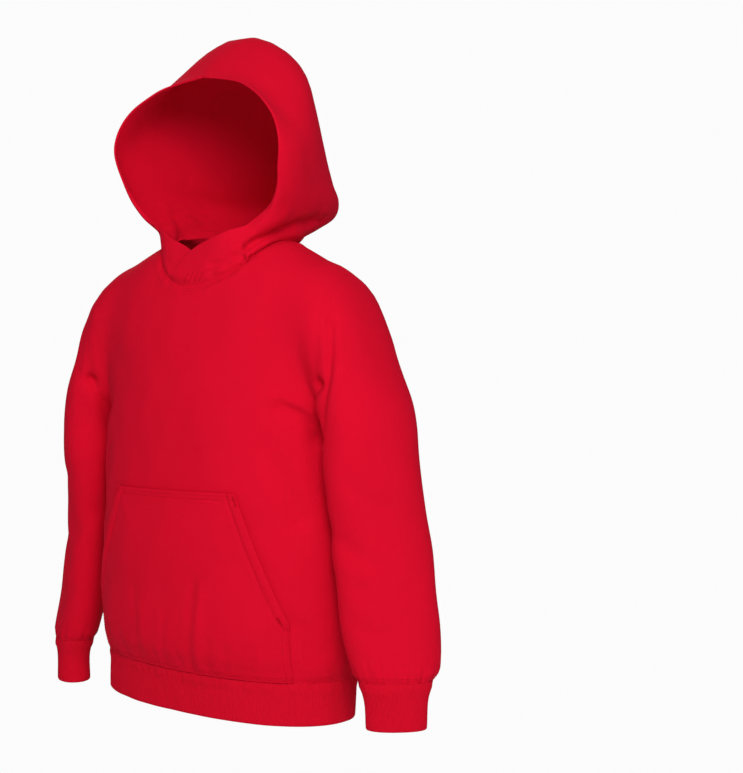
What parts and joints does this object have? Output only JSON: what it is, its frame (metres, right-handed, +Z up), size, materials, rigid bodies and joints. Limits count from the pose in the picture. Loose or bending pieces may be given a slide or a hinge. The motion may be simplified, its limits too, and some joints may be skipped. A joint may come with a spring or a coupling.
{
  "type": "kids hoodie",
  "caption": "Child's plain red fleece pullover hoodie, filled out as worn: hood up and crossed over at the neck, kangaroo pocket, ribbed cuffs and hem band.",
  "frame": {"origin": "middle of the neck, level with the inner ends of the shoulder seams, where the wearer's neck and shoulders hold the garment", "axes": "+Z up, -Y the front, +X the wearer's left"},
  "size_m": [0.5274, 0.2332, 0.7305],
  "materials": {
    "fleece": "brushed-back cotton fleece, matt, bright red",
    "rib": "fine cotton rib knit, matt, bright red"
  },
  "bodies": {
    "root": {"front": "fleece", "back": "fleece", "sleeve_left": "fleece", "sleeve_right": "fleece", "cuff_left": "rib", "cuff_right": "rib", "hem_band": "rib", "hood_left": "fleece", "hood_right": "fleece", "pocket": "fleece"}
  },
  "joints": []
}
